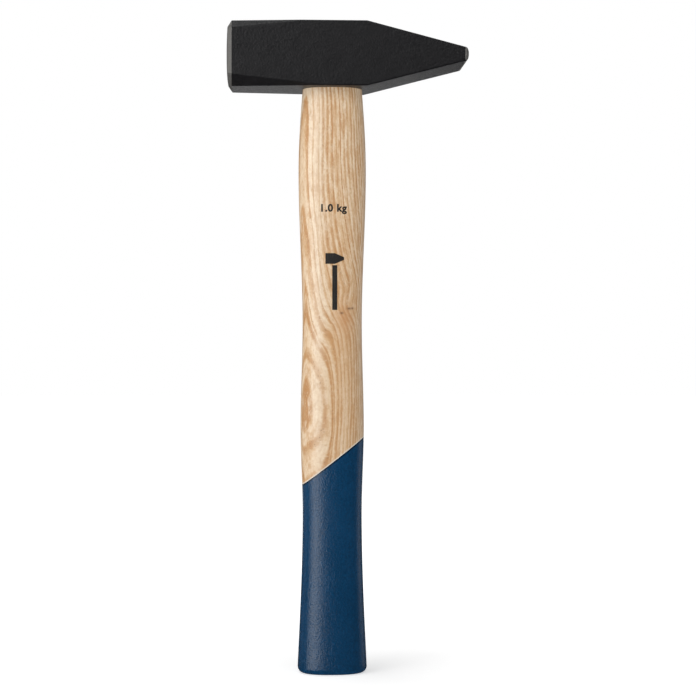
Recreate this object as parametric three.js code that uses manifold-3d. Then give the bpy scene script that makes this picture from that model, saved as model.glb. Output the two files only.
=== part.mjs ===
// Cross peen hammer: a forged 1 kg head wedged on a double-curved ash handle with a dipped grip.
// Millimetres, +Z up. The hammer stands on its butt. The origin is the centre of the flat butt end,
// the striking face looks along -X, the peen points along +X and the eye runs along Z.

import * as THREE from "three";
import { mergeVertices } from "three/addons/utils/BufferGeometryUtils.js";
import Module from "manifold-3d";

// Head
const HEAD_HEIGHT = 36.3;
const HEAD_WIDTH = 36;
const FACE_REACH = 59.5; // from the handle's axis to the crown of the striking face
const FACE_CROWN = 0.75; // how far the crown stands out of the face's rim
const FACE_BEVEL_DEPTH = 2.35;
const FACE_BEVEL_INSET = 3.35;
const TOP_CHAMFER = 4.6; // legs of the long corner chamfers where they meet the face bevel
const BOTTOM_CHAMFER = 5.9;
const TOP_RUN = 39; // length along the head in which those chamfers run out
const BOTTOM_RUN = 49;
const EDGE_BREAK = 0.6; // small chamfer left on every long edge by the forging
const TAPER_START = 18.8; // from the handle's axis to the start of the peen's taper
const PEEN_REACH = 75.5; // from the handle's axis to the peen's nose
const NOSE_DEPTH = 2;
const NOSE_HEIGHT = 8;
const NOSE_TIP_HEIGHT = 1.5; // height of the flat left at the nose's tip
const NOSE_END_LOSS = 0.9; // how much shorter the nose is at its tip, at each end

// Eye, an oval that is narrowest at half height and flares to both mouths
const EYE_LENGTH = 30;
const EYE_WIDTH = 19.6;
const EYE_FLARE = 1;

// Handle
const HANDLE_LENGTH = 328.3; // from the butt end to the underside of the head
const OVAL_POWER = 2.4; // 2 is an ellipse, and more is squarer
const BUTT_WIDTH = 39.3;
const BUTT_THICKNESS = 28;
const BUTT_SPREAD = -0.09; // change of width per millimetre of height at the butt
const BUTT_ROUNDING = 3.5;
const WAIST_HEIGHT = 88; // from the butt end
const WAIST_WIDTH = 33.4;
const WAIST_THICKNESS = 24.4;
const SWELL_HEIGHT = 138; // from the butt end
const SWELL_WIDTH = 35.7;
const SWELL_THICKNESS = 24.8;
const NECK_DROP = 132.3; // from the underside of the head
const NECK_WIDTH = 33.4;
const NECK_THICKNESS = 22.6;
const BELLY_DROP = 46.3; // from the underside of the head
const BELLY_WIDTH = 38;
const BELLY_THICKNESS = 23.6;
const SHOULDER_LEDGE = 0.7; // how far the shoulder stands out of the eye's mouth all round
const SHOULDER_SPREAD = -0.16; // change of width per millimetre of height at the shoulder
const TENON_STAND = 1.2; // how far the tenon stands out of the head's top

// Wedges
const KERF_DEPTH = 26;
const WEDGE_DEPTH = 24;
const WEDGE_TOP_THICKNESS = 4.4;
const WEDGE_TIP_THICKNESS = 1.4;
const RING_RADIUS = 8;
const RING_WALL = 1.8;
const RING_TIP_WALL = 0.5;
const RING_DRAFT = 0.2; // how much the ring's outside narrows towards its tip
const RING_HEIGHT = 12;

// Dipped grip
const COAT_THICKNESS = 0.5;
const PAINT_LINE_HEIGHT = 119; // on the handle's axis
const PAINT_LINE_TILT = THREE.MathUtils.degToRad(37.7); // rises towards the peen

const FIT_GAP = 0.3; // clearance between pieces that bear on each other
const OVERRUN = 1; // how far a cutter passes the face that it opens

const OVAL_STEPS = 40;
const RING_STEPS = 40;
const CROWN_STEPS = 4;
const NOSE_STEPS = 4;
const EYE_LEVELS = 8;
const ROUNDING_STEPS = 4;
const LEVELS_PER_STRETCH = 6;

const HEAD_TOP = HANDLE_LENGTH + HEAD_HEIGHT;
const HEAD_MIDDLE = HANDLE_LENGTH + HEAD_HEIGHT / 2;
const TENON_TOP = HEAD_TOP + TENON_STAND;
const EYE_MOUTH_LENGTH = EYE_LENGTH + 2 * EYE_FLARE;
const EYE_MOUTH_WIDTH = EYE_WIDTH + 2 * EYE_FLARE;
const FACE_EDGE = -(FACE_REACH - FACE_CROWN - FACE_BEVEL_DEPTH);
const PEEN_EDGE = PEEN_REACH - NOSE_DEPTH;

// The handle's stations, from the butt up. Spread is the slope of the width at that height.
const STATIONS = [
  { z: 0, width: BUTT_WIDTH, thickness: BUTT_THICKNESS, spread: BUTT_SPREAD },
  { z: WAIST_HEIGHT, width: WAIST_WIDTH, thickness: WAIST_THICKNESS, spread: 0 },
  { z: SWELL_HEIGHT, width: SWELL_WIDTH, thickness: SWELL_THICKNESS, spread: 0 },
  { z: HANDLE_LENGTH - NECK_DROP, width: NECK_WIDTH, thickness: NECK_THICKNESS, spread: 0 },
  { z: HANDLE_LENGTH - BELLY_DROP, width: BELLY_WIDTH, thickness: BELLY_THICKNESS, spread: 0 },
  {
    z: HANDLE_LENGTH - FIT_GAP,
    width: EYE_MOUTH_LENGTH + 2 * SHOULDER_LEDGE,
    thickness: EYE_MOUTH_WIDTH + 2 * SHOULDER_LEDGE,
    spread: SHOULDER_SPREAD,
  },
];

const wasm = await Module();
wasm.setup();

// A closed geometry as a manifold-3d solid.
function solidOf(geometry) {
  const bare = geometry.clone();
  bare.deleteAttribute("normal");
  bare.deleteAttribute("uv");
  const merged = mergeVertices(bare, 1e-4);
  return new wasm.Manifold(
    new wasm.Mesh({
      numProp: 3,
      vertProperties: merged.attributes.position.array,
      triVerts: new Uint32Array(merged.index.array),
    }),
  );
}

// A solid as a named mesh with its own material.
function meshOf(name, solid, look) {
  const { vertProperties, triVerts } = solid.getMesh();
  const geometry = new THREE.BufferGeometry();
  geometry.setAttribute("position", new THREE.BufferAttribute(vertProperties, 3));
  geometry.setIndex(new THREE.BufferAttribute(triVerts, 1));
  geometry.computeVertexNormals();
  const mesh = new THREE.Mesh(geometry, new THREE.MeshStandardMaterial({ ...look, flatShading: true }));
  mesh.name = name;
  return mesh;
}

function centreOf(ring) {
  const sum = ring.reduce((total, point) => total.add(point), new THREE.Vector3());
  return sum.divideScalar(ring.length);
}

// A closed skin over rings that hold the same number of points, with a cap on the first and the last.
// It is a lathe of as many steps, whose points are moved onto the rings.
function loft(rings) {
  const steps = rings[0].length;
  const profile = rings.map((ring, level) => new THREE.Vector2(1, level));
  profile.unshift(new THREE.Vector2(0, 0));
  profile.push(new THREE.Vector2(0, rings.length - 1));
  const geometry = new THREE.LatheGeometry(profile, steps);
  const position = geometry.getAttribute("position");
  for (let index = 0; index < position.count; index += 1) {
    const step = Math.floor(index / profile.length) % steps;
    const along = index % profile.length;
    const ring = rings[THREE.MathUtils.clamp(along - 1, 0, rings.length - 1)];
    const onAxis = along === 0 || along === profile.length - 1;
    const point = onAxis ? centreOf(ring) : ring[step];
    position.setXYZ(index, point.x, point.y, point.z);
  }
  return solidOf(geometry);
}

// An oval ring at height z, its length along X and its width along Y.
function ovalRing(z, length, width) {
  const signedPower = (value) => Math.sign(value) * Math.abs(value) ** (2 / OVAL_POWER);
  return Array.from({ length: OVAL_STEPS }, (_, step) => {
    const angle = (2 * Math.PI * step) / OVAL_STEPS;
    const x = (length / 2) * signedPower(Math.cos(angle));
    const y = (width / 2) * signedPower(Math.sin(angle));
    return new THREE.Vector3(x, y, z);
  });
}

// ---- Head ----

// A ring of eight corners across the head at x: a rectangle with its top and bottom corners cut.
function headRing(x, height, width, topCut, bottomCut) {
  const h = height / 2;
  const w = width / 2;
  const corners = [
    [w, h - topCut],
    [w - topCut, h],
    [topCut - w, h],
    [-w, h - topCut],
    [-w, bottomCut - h],
    [bottomCut - w, -h],
    [w - bottomCut, -h],
    [w, bottomCut - h],
  ];
  return corners.map(([y, z]) => new THREE.Vector3(x, y, HEAD_MIDDLE + z));
}

// The crowned face, from its middle out to its rim.
function faceRings() {
  const cornerLoss = FACE_BEVEL_INSET * (2 - Math.SQRT2);
  const rimX = FACE_EDGE - FACE_BEVEL_DEPTH;
  const rings = [];
  for (let step = 1; step <= CROWN_STEPS; step += 1) {
    const share = step / CROWN_STEPS;
    rings.push(
      headRing(
        rimX - FACE_CROWN * (1 - share ** 2),
        (HEAD_HEIGHT - 2 * FACE_BEVEL_INSET) * share,
        (HEAD_WIDTH - 2 * FACE_BEVEL_INSET) * share,
        (TOP_CHAMFER - cornerLoss) * share,
        (BOTTOM_CHAMFER - cornerLoss) * share,
      ),
    );
  }
  return rings;
}

// The body's ring at a distance from the bevel's outer edge. Its corner chamfers shrink with that distance.
function bodyRing(distance) {
  const cutFor = (leg, run) => EDGE_BREAK + (leg - EDGE_BREAK) * Math.max(0, 1 - distance / run);
  const topCut = cutFor(TOP_CHAMFER, TOP_RUN);
  const bottomCut = cutFor(BOTTOM_CHAMFER, BOTTOM_RUN);
  return headRing(FACE_EDGE + distance, HEAD_HEIGHT, HEAD_WIDTH, topCut, bottomCut);
}

// The rounded nose, from the peen's edge to its tip.
function noseRings() {
  const rings = [];
  for (let step = 0; step <= NOSE_STEPS; step += 1) {
    const angle = ((Math.PI / 2) * step) / NOSE_STEPS;
    const height = NOSE_TIP_HEIGHT + (NOSE_HEIGHT - NOSE_TIP_HEIGHT) * Math.cos(angle);
    const width = HEAD_WIDTH - 2 * NOSE_END_LOSS * (1 - Math.cos(angle));
    rings.push(headRing(PEEN_EDGE + NOSE_DEPTH * Math.sin(angle), height, width, EDGE_BREAK, EDGE_BREAK));
  }
  return rings;
}

// The eye's opening less a margin all round. It flares with the square of the distance from half height.
function eyeRing(z, margin) {
  const away = Math.min(1, Math.abs(z - HEAD_MIDDLE) / (HEAD_HEIGHT / 2));
  const growth = 2 * (EYE_FLARE * away ** 2 - margin);
  return ovalRing(z, EYE_LENGTH + growth, EYE_WIDTH + growth);
}

// The eye's rings from one height to another, with rings at both mouths.
function eyeRings(bottom, top, margin) {
  const heights = [bottom];
  for (let level = 0; level <= EYE_LEVELS; level += 1) {
    const z = HANDLE_LENGTH + (HEAD_HEIGHT * level) / EYE_LEVELS;
    if (z > bottom && z < top) {
      heights.push(z);
    }
  }
  heights.push(top);
  return heights.map((z) => eyeRing(z, margin));
}

function makeHead() {
  const distances = [0, TOP_RUN, BOTTOM_RUN, TAPER_START - FACE_EDGE].sort((a, b) => a - b);
  const rings = [...faceRings(), ...distances.map(bodyRing), ...noseRings()];
  const eye = loft(eyeRings(HANDLE_LENGTH - OVERRUN, HEAD_TOP + OVERRUN, 0));
  return loft(rings).subtract(eye);
}

// ---- Handle ----

// Width and thickness of the handle at height z: a smooth curve that is level at each inner station.
function handleSizeAt(z) {
  const next = STATIONS.findIndex((station) => station.z >= z);
  const upper = STATIONS[Math.max(next, 1)];
  const lower = STATIONS[Math.max(next, 1) - 1];
  const reach = upper.z - lower.z;
  const share = (z - lower.z) / reach;
  const rise = share ** 2 * (3 - 2 * share);
  const lowerBend = share * (1 - share) ** 2 * reach * lower.spread;
  const upperBend = share ** 2 * (share - 1) * reach * upper.spread;
  const bend = lowerBend + upperBend;
  return {
    width: lower.width + (upper.width - lower.width) * rise + bend,
    thickness: lower.thickness + (upper.thickness - lower.thickness) * rise + bend,
  };
}

// The handle's outline at height z, less a margin all round, with its butt edge rounded.
function handleRing(z, margin) {
  const { width, thickness } = handleSizeAt(z);
  const radius = BUTT_ROUNDING - margin;
  const drop = THREE.MathUtils.clamp(BUTT_ROUNDING - z, 0, radius);
  const inset = 2 * (margin + radius - Math.sqrt(radius ** 2 - drop ** 2));
  return ovalRing(z, width - inset, thickness - inset);
}

// Heights of the handle's rings, from the bottom up: close together in the rounding, then evenly spaced.
function handleHeights(bottom, top) {
  const heights = [];
  for (let step = 0; step < ROUNDING_STEPS; step += 1) {
    const angle = ((Math.PI / 2) * step) / ROUNDING_STEPS;
    heights.push(BUTT_ROUNDING - (BUTT_ROUNDING - bottom) * Math.cos(angle));
  }
  STATIONS.slice(1).forEach((station, index) => {
    const start = Math.max(STATIONS[index].z, BUTT_ROUNDING);
    for (let level = 0; level < LEVELS_PER_STRETCH; level += 1) {
      heights.push(start + ((station.z - start) * level) / LEVELS_PER_STRETCH);
    }
  });
  return [...heights.filter((z) => z < top), top];
}

function handleBody(bottom, top, margin) {
  return loft(handleHeights(bottom, top).map((z) => handleRing(z, margin)));
}

// All that lies under the slanted paint line, moved up by a clearance.
function underPaintLine(clearance) {
  const side = 2 * HANDLE_LENGTH;
  const block = new THREE.BoxGeometry(side, side, side);
  block.translate(0, 0, -side / 2);
  block.rotateY(-PAINT_LINE_TILT);
  block.translate(0, 0, PAINT_LINE_HEIGHT + clearance);
  return solidOf(block);
}

// The height that the coat's highest point stays below.
function coatReach() {
  return PAINT_LINE_HEIGHT + BELLY_WIDTH * Math.tan(PAINT_LINE_TILT);
}

function makeGripCoat() {
  const outside = handleBody(0, coatReach(), 0).intersect(underPaintLine(0));
  const inside = handleBody(COAT_THICKNESS, coatReach() + OVERRUN, COAT_THICKNESS);
  return outside.subtract(inside);
}

// What the handle loses where the coat lies on it.
function coatRebate() {
  const depth = COAT_THICKNESS + FIT_GAP;
  const core = handleBody(depth, coatReach() + OVERRUN, depth);
  return underPaintLine(FIT_GAP).subtract(core);
}

function makeHandle() {
  const shoulder = HANDLE_LENGTH - FIT_GAP;
  const rings = handleHeights(0, shoulder).map((z) => handleRing(z, 0));
  const blank = loft([...rings, ...eyeRings(shoulder, TENON_TOP, FIT_GAP)]);
  return blank.subtract(coatRebate()).subtract(kerf()).subtract(ringGroove());
}

// ---- Wedges ----

// A V-shaped bar along X, from the tenon's top down by its depth.
function taperedBar(depth, topThickness, tipThickness) {
  const outline = new THREE.Shape();
  outline.moveTo(-topThickness / 2, 0);
  outline.lineTo(-tipThickness / 2, -depth);
  outline.lineTo(tipThickness / 2, -depth);
  outline.lineTo(topThickness / 2, 0);
  const bar = new THREE.ExtrudeGeometry(outline, { depth: 2 * EYE_LENGTH, bevelEnabled: false });
  bar.translate(0, 0, -EYE_LENGTH);
  bar.rotateX(Math.PI / 2);
  bar.rotateZ(Math.PI / 2);
  bar.translate(0, 0, TENON_TOP);
  return bar;
}

// The slot that the wooden wedge opens in the tenon, along the eye's length.
function kerf() {
  const top = WEDGE_TOP_THICKNESS + 2 * FIT_GAP;
  const tip = WEDGE_TIP_THICKNESS + 2 * FIT_GAP;
  const slope = (top - tip) / KERF_DEPTH;
  const bar = taperedBar(KERF_DEPTH + OVERRUN, top + slope * OVERRUN, tip);
  return solidOf(bar.translate(0, 0, OVERRUN));
}

// The wooden wedge, cut off level with the tenon and rounded at its ends as the tenon is.
function makeWoodenWedge() {
  const tenon = loft(eyeRings(HANDLE_LENGTH, TENON_TOP, FIT_GAP));
  const bar = taperedBar(WEDGE_DEPTH, WEDGE_TOP_THICKNESS, WEDGE_TIP_THICKNESS);
  return solidOf(bar).intersect(tenon).subtract(ringGroove());
}

// A ring with a wedge-shaped wall, grown by a margin on every side but its top.
function taperedRing(margin, rise) {
  const tip = -RING_HEIGHT - margin;
  const outside = RING_RADIUS + margin;
  const profile = [
    [outside, rise],
    [RING_RADIUS - RING_WALL - margin, rise],
    [RING_RADIUS - RING_DRAFT - RING_TIP_WALL - margin, tip],
    [outside - RING_DRAFT, tip],
    [outside, rise],
  ];
  const points = profile.map(([radius, height]) => new THREE.Vector2(radius, height));
  const ring = new THREE.LatheGeometry(points, RING_STEPS);
  ring.rotateX(Math.PI / 2);
  ring.translate(0, 0, TENON_TOP);
  return solidOf(ring);
}

// The groove that the ring cuts as it is driven across the tenon and the wooden wedge.
function ringGroove() {
  return taperedRing(FIT_GAP, OVERRUN);
}

function makeRingWedge() {
  return taperedRing(0, 0);
}

const hammer = new THREE.Group();
hammer.add(
  meshOf("head", makeHead(), { color: 0x262528, roughness: 0.5, metalness: 0.3 }),
  meshOf("handle", makeHandle(), { color: 0xd8bb9c, roughness: 0.45, metalness: 0 }),
  meshOf("wooden_wedge", makeWoodenWedge(), { color: 0xc49a6c, roughness: 0.7, metalness: 0 }),
  meshOf("ring_wedge", makeRingWedge(), { color: 0x9a9a98, roughness: 0.4, metalness: 0.9 }),
  meshOf("grip_coat", makeGripCoat(), { color: 0x184268, roughness: 0.35, metalness: 0 }),
);

export default hammer;
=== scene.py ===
"""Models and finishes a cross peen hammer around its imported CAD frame.

The hammer stands on its butt at the origin, +Z up, with its striking face towards -X.
Every length is in metres. Materials work in millimetres of the pieces' own Object coordinates.
"""

import math

import bpy
from bpy.props import FloatProperty, FloatVectorProperty, PointerProperty, StringProperty
from mathutils import Matrix, Vector


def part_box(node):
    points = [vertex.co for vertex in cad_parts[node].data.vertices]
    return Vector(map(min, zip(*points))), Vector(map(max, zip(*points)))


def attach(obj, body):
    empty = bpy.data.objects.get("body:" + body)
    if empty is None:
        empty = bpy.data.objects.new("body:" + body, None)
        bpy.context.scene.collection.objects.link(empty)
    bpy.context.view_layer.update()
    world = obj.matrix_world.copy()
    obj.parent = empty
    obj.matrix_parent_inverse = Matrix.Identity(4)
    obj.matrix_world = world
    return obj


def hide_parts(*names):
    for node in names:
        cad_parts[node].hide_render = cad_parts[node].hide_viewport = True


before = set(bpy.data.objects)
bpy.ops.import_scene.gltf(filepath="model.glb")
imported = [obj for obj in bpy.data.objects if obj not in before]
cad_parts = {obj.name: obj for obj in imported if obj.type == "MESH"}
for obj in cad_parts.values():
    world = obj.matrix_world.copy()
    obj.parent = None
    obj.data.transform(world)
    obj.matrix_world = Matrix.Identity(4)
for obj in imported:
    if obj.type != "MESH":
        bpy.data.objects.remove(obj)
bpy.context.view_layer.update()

bl_info = {
    "name": "Cross Peen Hammer",
    "version": (1, 0, 0),
    "blender": (4, 5, 0),
    "location": "3D View > Sidebar > Hammer",
    "description": "Models and finishes a cross peen hammer around its CAD frame",
    "category": "Add Mesh",
}

MM = 0.001
BODY = "root"

HEAD_LOW, HEAD_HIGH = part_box("head")
WEDGE_LOW, WEDGE_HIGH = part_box("wooden_wedge")
RING_LOW, RING_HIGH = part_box("ring_wedge")

HEAD_MIDDLE = (HEAD_LOW.z + HEAD_HIGH.z) / 2
HEAD_HEIGHT = HEAD_HIGH.z - HEAD_LOW.z
HEAD_WIDTH = HEAD_HIGH.y - HEAD_LOW.y
TENON_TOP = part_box("handle")[1].z

SLIVER = 0.01 * MM  # smaller than any real size, larger than rounding errors
OVAL_POWER = 2.4  # 2 is an ellipse, and more is squarer
CORNER_STEPS = 24
EYE_LEVELS = 12
ROUNDING_STEPS = 8
CROWN_STEPS = 9
NOSE_STEPS = 8
RING_SIDES = 96
HANDLE_SPACING = 4 * MM
NOSE_TIP_SHARE = 0.16  # height of the nose's tip, as a share of where it begins
NOSE_NARROWING = 0.05  # share that the nose loses of its width at its tip

# Heights of the coat and its core, before they are trimmed at the paint line.
COAT_BLANK_TOP = 170 * MM
CORE_BLANK_TOP = 200 * MM

PRINT_STAND = 30 * MM  # from the handle's axis, before a print is pressed on
SIGN_SHAFT = (2.8, 25)  # width and height of the hammer sign's parts, in millimetres
SIGN_BLOCK = (5.2, 6)
SIGN_SHAFT_DROP, SIGN_HEAD_RISE = 3.6 * MM, 12.6 * MM  # from the sign's middle
SIGN_PEEN_SHARE = 0.26  # height of its peen's tip, as a share of its head's

# The wood's figure, in millimetres. Each sweep pairs heights with shifts of the rings.
PITH_X, PITH_Y, INNER_RADIUS = 44.0, 40.0, 57.0
YEAR_WIDTH = 1.5
SWEEP_LENGTH, SWEEP_RANGE = 366, 12
LEFT_SWEEP = (
    *((0, 3.4), (60, 3.5), (100, 3.9), (122, 4.8), (154, 6.5), (185, 5.5)),
    *((203, 4.5), (243, 2.0), (282, 0.2), (330, 0.7), (366, 0.8)),
)
MIDDLE_SWEEP = (
    *((0, 9.3), (73, 9.5), (117, 10.3), (151, 11.4), (181, 10.6), (202, 8.0)),
    *((216, 5.6), (238, 3.0), (256, 1.5), (290, 0.2), (366, 0.0)),
)
MIDDLE_LEAN = 1.6  # slant of the middle sweep across the handle
KNOT_PLACE, KNOT_REACH, KNOT_SWELL = (8.0, 205.0), (6.5, 9.0), 3.2
HALO_PLACE, HALO_REACH = (6.6, 199.0), (4.5, 8.0)
HEART_PLACE, HEART_REACH = (5.0, 170.0), (9.0, 70.0)
# A pale streak down the handle's left side, at one place across it: a painted highlight of the
# lacquer, on partly paler wood.
HIGHLIGHT_STREAK_X, HIGHLIGHT_STREAK_REACH = -8.0, 3.2
PINS = (((9.0, 204.7), 1.1), ((10.9, 204.9), 0.7), ((4.9, 202.2), 1.0))  # place and width
PIN_HEIGHT = 0.6
BRIGHT_WOOD = (0.79, 0.67, 0.505)
# Colour of that streak: painted highlight, partly paler wood.
HIGHLIGHT_STREAK = (0.8, 0.71, 0.57)
HEARTWOOD = (0.55, 0.31, 0.13)
PORE = (0.24, 0.125, 0.055)
HALO = (0.52, 0.25, 0.1)
PIN = (0.16, 0.07, 0.028)
PALE_RIM = (0.8, 0.77, 0.68)

# Each light's name, place, width and height in metres, and power in watts.
LIGHTS = (
    ("key", (-0.89, -0.95, 0.3), 0.95, 1.5, 12.2),
    ("left_top", (-0.9, -0.45, 1.15), 0.9, 0.7, 3),
    ("front_top", (0.15, -1.0, 1.3), 1.2, 0.8, 4),
    ("top", (-0.42, 0.15, 1.35), 0.7, 0.6, 2.8),
    ("left_back", (-1.25, 0.5, 0.3), 0.5, 1.0, 0.6),
    ("right_back", (1.2, 0.45, 0.25), 0.5, 1.0, 1.2),
    ("low_back", (-0.04, 2.3, 0.0), 0.85, 3.0, 7.7),
)
FACES_UP = "low_back"
AIM = Vector((0, 0, 190 * MM))
SURROUND_STRENGTH = 0.04
CAMERA_PLACE = Vector((-0.03736, -0.93648, HEAD_MIDDLE - 0.16379))
FLOOR_SIZE = 12
BACKDROP_RADIUS = 5.5


def size(name, description, millimetres):
    return FloatProperty(
        name=name, description=description, default=millimetres * MM, unit="LENGTH"
    )


def colour(name, description, default):
    return FloatVectorProperty(
        name=name, description=description, default=default, subtype="COLOR", min=0, max=1
    )


def angle(name, description, degrees):
    return FloatProperty(
        name=name, description=description, default=math.radians(degrees), subtype="ANGLE"
    )


class HeadSettings(bpy.types.PropertyGroup):
    """Sizes and finishes of the forged head."""

    face_bevel_depth: size("Face bevel depth", "Depth of the bevel round the face", 2.35)
    face_bevel_inset: size("Face bevel inset", "Width of that bevel", 3.35)
    face_crown: size("Face crown", "Height of the crown over its rim", 0.7)
    top_chamfer: size("Top chamfer", "Leg of the top corner chamfers", 4.6)
    bottom_chamfer: size("Bottom chamfer", "Leg of the bottom corner chamfers", 5.9)
    top_run: size("Top run", "Length of the top chamfers", 39)
    bottom_run: size("Bottom run", "Length of the bottom chamfers", 49)
    edge_break: size("Edge break", "Small chamfer along every long edge", 0.6)
    edge_radius: size("Edge radius", "Rounding of every edge", 0.28)
    taper_start: size("Taper start", "From the handle's axis to the peen's taper", 18.8)
    nose_depth: size("Nose depth", "Length of the rounded nose", 2)
    nose_height: size("Nose height", "Height where the nose begins", 8)
    eye_length: size("Eye length", "Length of the eye at half height", 30)
    eye_width: size("Eye width", "Width of the eye at half height", 19.6)
    eye_flare: size("Eye flare", "How much its mouths widen each way", 1)
    lacquer: colour("Lacquer", "Colour of the black lacquer", (0.0042, 0.004, 0.0048))
    steel: colour("Ground steel", "Colour of the ground face and nose", (0.54, 0.525, 0.5))


class HandleSettings(bpy.types.PropertyGroup):
    """Sizes and colours of the ash handle."""

    butt_rounding: size("Butt rounding", "Radius of the butt's edge", 3.5)
    shoulder_ledge: size("Shoulder ledge", "Step from the eye to the shoulder", 0.7)
    tenon_gap: size("Tenon gap", "Gap between the tenon and the eye", 0.05)
    kerf_gap: size("Kerf gap", "Gap between the tenon and its wedges", 0.06)
    pale_wood: colour("Pale wood", "Colour of the palest sapwood", (0.7, 0.53, 0.345))
    warm_wood: colour("Warm wood", "Colour of the warm bands", (0.62, 0.395, 0.2))
    ring_line: colour("Ring line", "Colour of the porous early wood", (0.45, 0.215, 0.072))


class GripSettings(bpy.types.PropertyGroup):
    """Sizes and colour of the dipped grip."""

    coat_thickness: size("Coat thickness", "Thickness of the dipped paint", 0.15)
    line_height: size("Line height", "Height of the paint line", 119.0)
    line_tilt: angle("Line tilt", "Rise of the line towards the peen", 37.7)
    paint: colour("Paint", "Colour of the dipped paint", (0.0022, 0.0345, 0.089))


class WedgeSettings(bpy.types.PropertyGroup):
    """Sizes of the two wedges."""

    wedge_tip: size("Wedge tip", "Thickness of the wood at its tip", 1.4)
    ring_wall: size("Ring wall", "Thickness of the ring at its top", 1.8)
    ring_tip_wall: size("Ring tip wall", "Thickness of the ring at its tip", 0.5)
    ring_sink: size("Ring sink", "Depth under the tenon's top", 0.15)


class PrintSettings(bpy.types.PropertyGroup):
    """The printing on the handle's side."""

    weight: StringProperty(name="Weight", description="Weight, as printed", default="1.0 kg")
    digit_height: size("Digit height", "Height of the weight's digits", 4.2)
    weight_height: size("Weight height", "Height of the weight above the butt", 261)
    mark_height: size("Mark height", "Height of the hammer sign above the butt", 220)
    ink_depth: size("Ink depth", "Thickness of the printed ink", 0.03)


class StageSettings(bpy.types.PropertyGroup):
    """The camera's lens and turn."""

    lens: FloatProperty(name="Lens", description="Focal length in millimetres", default=85.81)
    turn: angle("Turn", "Camera's turn towards the peen", 2.831)


# ---- Selecting and shaping, as by hand ----


def edit_all():
    """Enters edit mode with the whole piece selected."""
    bpy.ops.object.mode_set(mode="EDIT")
    bpy.ops.mesh.select_all(action="SELECT")


def leave_edit():
    bpy.ops.object.mode_set(mode="OBJECT")


def start_clean():
    """Leaves edit mode and deselects every object."""
    if bpy.context.object and bpy.context.object.mode != "OBJECT":
        leave_edit()
    bpy.ops.object.select_all(action="DESELECT")


def make_active(piece):
    start_clean()
    piece.select_set(True)
    bpy.context.view_layer.objects.active = piece


def name_new(name):
    """Names the object that an add operator has just made, and puts its place into its mesh."""
    piece = bpy.context.object
    piece.name = name
    piece.data.name = name
    bpy.ops.object.transform_apply(location=True, rotation=True, scale=True)
    return piece


def pick(piece, kind, test):
    """Selects, in edit mode, the vertices, edges or faces that pass a test of their place."""
    leave_edit()
    mesh = piece.data
    for group in (mesh.vertices, mesh.edges, mesh.polygons):
        group.foreach_set("select", [False] * len(group))
    groups = {"VERT": mesh.vertices, "EDGE": mesh.edges, "FACE": mesh.polygons}
    for item in groups[kind]:
        if kind == "VERT":
            item.select = test(item.co)
        elif kind == "EDGE":
            item.select = test(*[mesh.vertices[i].co for i in item.vertices])
        else:
            item.select = test(item.center, item.normal)
        if item.select and kind != "VERT":
            for i in item.vertices:
                mesh.vertices[i].select = True
    bpy.context.tool_settings.mesh_select_mode = (kind == "VERT", kind == "EDGE", kind == "FACE")
    bpy.ops.object.mode_set(mode="EDIT")


def extrude(offset):
    bpy.ops.mesh.extrude_region_move(TRANSFORM_OT_translate={"value": tuple(offset)})


def resize(factors, centre):
    bpy.ops.transform.resize(value=tuple(factors), center_override=tuple(centre))


def slide(offset):
    bpy.ops.transform.translate(value=tuple(offset))


def bisect(place, normal, **choices):
    bpy.ops.mesh.select_all(action="SELECT")
    bpy.ops.mesh.bisect(plane_co=tuple(place), plane_no=tuple(normal), **choices)


def face_outwards(piece, smooth=0):
    """Merges what lies together, turns every face outwards, and smooths up to an angle."""
    make_active(piece)
    edit_all()
    bpy.ops.mesh.remove_doubles(threshold=0.1 * SLIVER)
    bpy.ops.mesh.normals_make_consistent(inside=False)
    leave_edit()
    if smooth:
        bpy.ops.object.shade_smooth_by_angle(angle=math.radians(smooth))


def finish_with(piece, kind, **values):
    """Adds a modifier to a piece and applies it."""
    modifier = piece.modifiers.new(kind.lower(), kind)
    for name, value in values.items():
        setattr(modifier, name, value)
    make_active(piece)
    bpy.ops.object.modifier_apply(modifier=modifier.name)


def round_edges(piece, width, segments, degrees):
    """Rounds every edge that is sharper than an angle."""
    sharp = {"limit_method": "ANGLE", "angle_limit": math.radians(degrees)}
    sharp["use_clamp_overlap"] = False
    finish_with(piece, "BEVEL", width=width, segments=segments, **sharp)


def cut(piece, cutter, operation="DIFFERENCE"):
    """Cuts a piece with another, which is then thrown away."""
    finish_with(piece, "BOOLEAN", operation=operation, solver="EXACT", object=cutter)
    bpy.data.objects.remove(cutter, do_unlink=True)


def keep(piece, node, material=None):
    """Gives a finished piece its material, hangs it under the body's empty, and hides the CAD
    node that it replaces.
    """
    if material:
        piece.data.materials.clear()
        piece.data.materials.append(material)
    start_clean()
    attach(piece, BODY)
    if node:
        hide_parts(node)


def oval_column(name, rings):
    """A closed column of ovals, each a (height, width, thickness), extruded upwards."""
    height, width, thickness = rings[0]
    start_clean()
    bpy.ops.mesh.primitive_plane_add(size=1, location=(0, 0, height))
    column = name_new(name)
    bpy.context.tool_settings.mesh_select_mode = (True, False, False)
    edit_all()
    bpy.ops.mesh.bevel(
        affect="VERTICES",
        offset_type="PERCENT",
        offset_pct=50,
        segments=CORNER_STEPS,
        profile=0.5 ** (2 / OVAL_POWER),
    )
    bpy.ops.mesh.select_all(action="SELECT")
    bpy.ops.mesh.remove_doubles(threshold=1e-5)
    resize((width, thickness, 1), (0, 0, height))
    bpy.context.tool_settings.mesh_select_mode = (False, False, True)
    bpy.ops.mesh.select_all(action="SELECT")
    for next_height, next_width, next_thickness in rings[1:]:
        extrude((0, 0, next_height - height))
        resize((next_width / width, next_thickness / thickness, 1), (0, 0, next_height))
        height, width, thickness = next_height, next_width, next_thickness
    face_outwards(column)
    return column


# ---- Shapes that pieces share ----


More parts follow.
